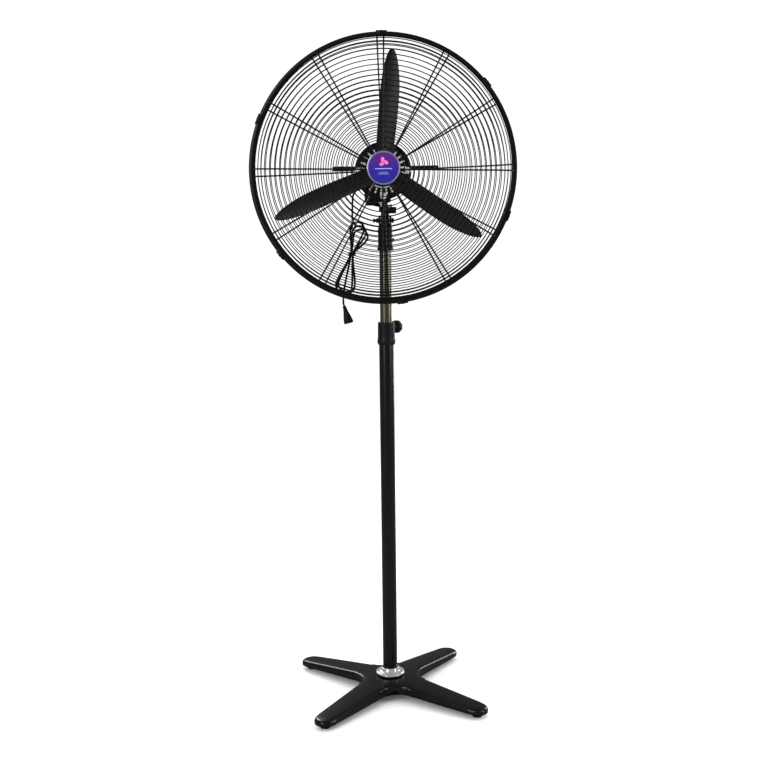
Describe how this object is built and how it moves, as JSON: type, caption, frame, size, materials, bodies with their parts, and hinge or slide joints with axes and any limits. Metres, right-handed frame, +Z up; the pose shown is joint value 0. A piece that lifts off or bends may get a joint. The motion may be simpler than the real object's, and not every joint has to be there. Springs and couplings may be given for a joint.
{
  "type": "pedestal fan",
  "caption": "Floor-standing fan on a cross base: telescopic pole, tilting and swinging head, bladed rotor between wire guards, motor with swing gear, knobs and a mains lead tied in a hank.",
  "frame": {"origin": "on the floor under the pole's axis", "axes": "+Z up, -Y the way the fan blows, +X to the right seen from the front"},
  "size_m": [0.733, 0.5702, 1.951],
  "materials": {
    "base_black": "gloss",
    "pole_black": "gloss",
    "head_black": "satin",
    "guard_black": "satin",
    "blade_grey": "satin",
    "flange_chrome": "polished",
    "tube_nickel": "polished",
    "steel": "brushed",
    "copper": "satin",
    "brass": "satin",
    "rubber_black": "matte",
    "cord_black": "satin",
    "plastic_black": "satin",
    "nylon_white": "matte",
    "badge_blue": "gloss"
  },
  "bodies": {
    "stand": {"base_cross": "base_black", "foot_1": "rubber_black", "foot_2": "rubber_black", "foot_3": "rubber_black", "foot_4": "rubber_black", "base_flange": "flange_chrome", "pole_nut": "steel", "outer_pole": "pole_black", "collar_bush": "nylon_white", "clamp_collar": "pole_black"},
    "clamp_knob": {"height_knob": "plastic_black", "height_screw": "steel"},
    "mast": {"inner_tube": "tube_nickel", "neck_socket": "head_black", "socket_screw": "steel", "tilt_bolt": "steel", "tilt_nut": "steel"},
    "tilt_bracket": {"swivel_bracket": "head_black", "swivel_spindle": "steel"},
    "head": {"gearbox_housing": "head_black", "gearbox_cover": "head_black", "motor_rear_cover": "head_black", "motor_front_cover": "head_black", "stator_core": "steel", "winding_front": "copper", "winding_rear": "copper", "bearing_front": "steel", "bearing_rear": "steel", "rear_guard": "guard_black", "front_guard": "guard_black", "guard_clip_1": "guard_black", "guard_clip_2": "guard_black", "guard_clip_3": "guard_black", "guard_clip_4": "guard_black", "guard_clip_5": "guard_black", "guard_clip_6": "guard_black", "badge_plate": "badge_blue", "guard_screw_1": "flange_chrome", "guard_screw_2": "flange_chrome", "guard_screw_3": "flange_chrome", "guard_screw_4": "flange_chrome", "switch_box": "plastic_black", "capacitor": "nylon_white", "cord_gland": "rubber_black", "handle_bar": "head_black", "cord_lead": "cord_black", "cord_hank": "cord_black", "cord_tail": "cord_black", "plug": "cord_black"},
    "rotor": {"rotor_shaft": "steel", "rotor_core": "steel", "blade_hub": "head_black", "blade_1": "blade_grey", "blade_2": "blade_grey", "blade_3": "blade_grey"},
    "wheel": {"worm_wheel": "brass"},
    "crank": {"crank_disc": "steel"},
    "link": {"link_bar": "steel"},
    "swing_knob": {"oscillation_knob": "plastic_black"},
    "speed_selector": {"speed_knob": "plastic_black"}
  },
  "joints": [
    {"name": "height_slide", "type": "slide", "parent": "stand", "child": "mast", "axis": [0, 0, 1], "range_m": [-0.19, 0.15]},
    {"name": "height_knob_turn", "type": "hinge", "parent": "stand", "child": "clamp_knob", "pos_m": [0.02179, 0.03355, 1.1257], "axis": [0.5446, 0.8387, 0], "range_deg": [0, 360]},
    {"name": "tilt", "type": "hinge", "parent": "mast", "child": "tilt_bracket", "pos_m": [0, 0, 1.441], "axis": [-1, 0, 0], "range_deg": [-15, 20]},
    {"name": "oscillate", "type": "hinge", "parent": "tilt_bracket", "child": "head", "pos_m": [0, 0, 1.48], "axis": [0, 0, 1], "range_deg": [-35, 35]},
    {"name": "rotor_spin", "type": "hinge", "parent": "head", "child": "rotor", "pos_m": [-0.004, -0.16, 1.58], "axis": [0, -1, 0], "continuous": true},
    {"name": "worm_wheel_spin", "type": "hinge", "parent": "head", "child": "wheel", "pos_m": [-0.03, 0.032, 1.58], "axis": [0, 0, 1], "continuous": true},
    {"name": "crank_turn", "type": "hinge", "parent": "head", "child": "crank", "pos_m": [-0.03, 0.032, 1.4862], "axis": [0, 0, 1], "range_deg": [-50, 50]},
    {"name": "link_swing", "type": "hinge", "parent": "tilt_bracket", "child": "link", "pos_m": [0.0175, 0.0164, 1.4832], "axis": [0, 0, 1], "range_deg": [-37, 37]},
    {"name": "oscillation_knob_lift", "type": "slide", "parent": "head", "child": "swing_knob", "axis": [0, 0, 1], "range_m": [0, 0.008]},
    {"name": "speed_knob_turn", "type": "hinge", "parent": "head", "child": "speed_selector", "pos_m": [-0.07, 0.068, 1.568], "axis": [0, 1, 0], "range_deg": [0, 270]}
  ],
  "couplings": [
    {"joint": "worm_wheel_spin", "follows": "rotor_spin", "ratio": -0.041667},
    {"joint": "crank_turn", "follows": "oscillate", "ratio": -1.389},
    {"joint": "link_swing", "follows": "oscillate", "ratio": 1.021}
  ]
}
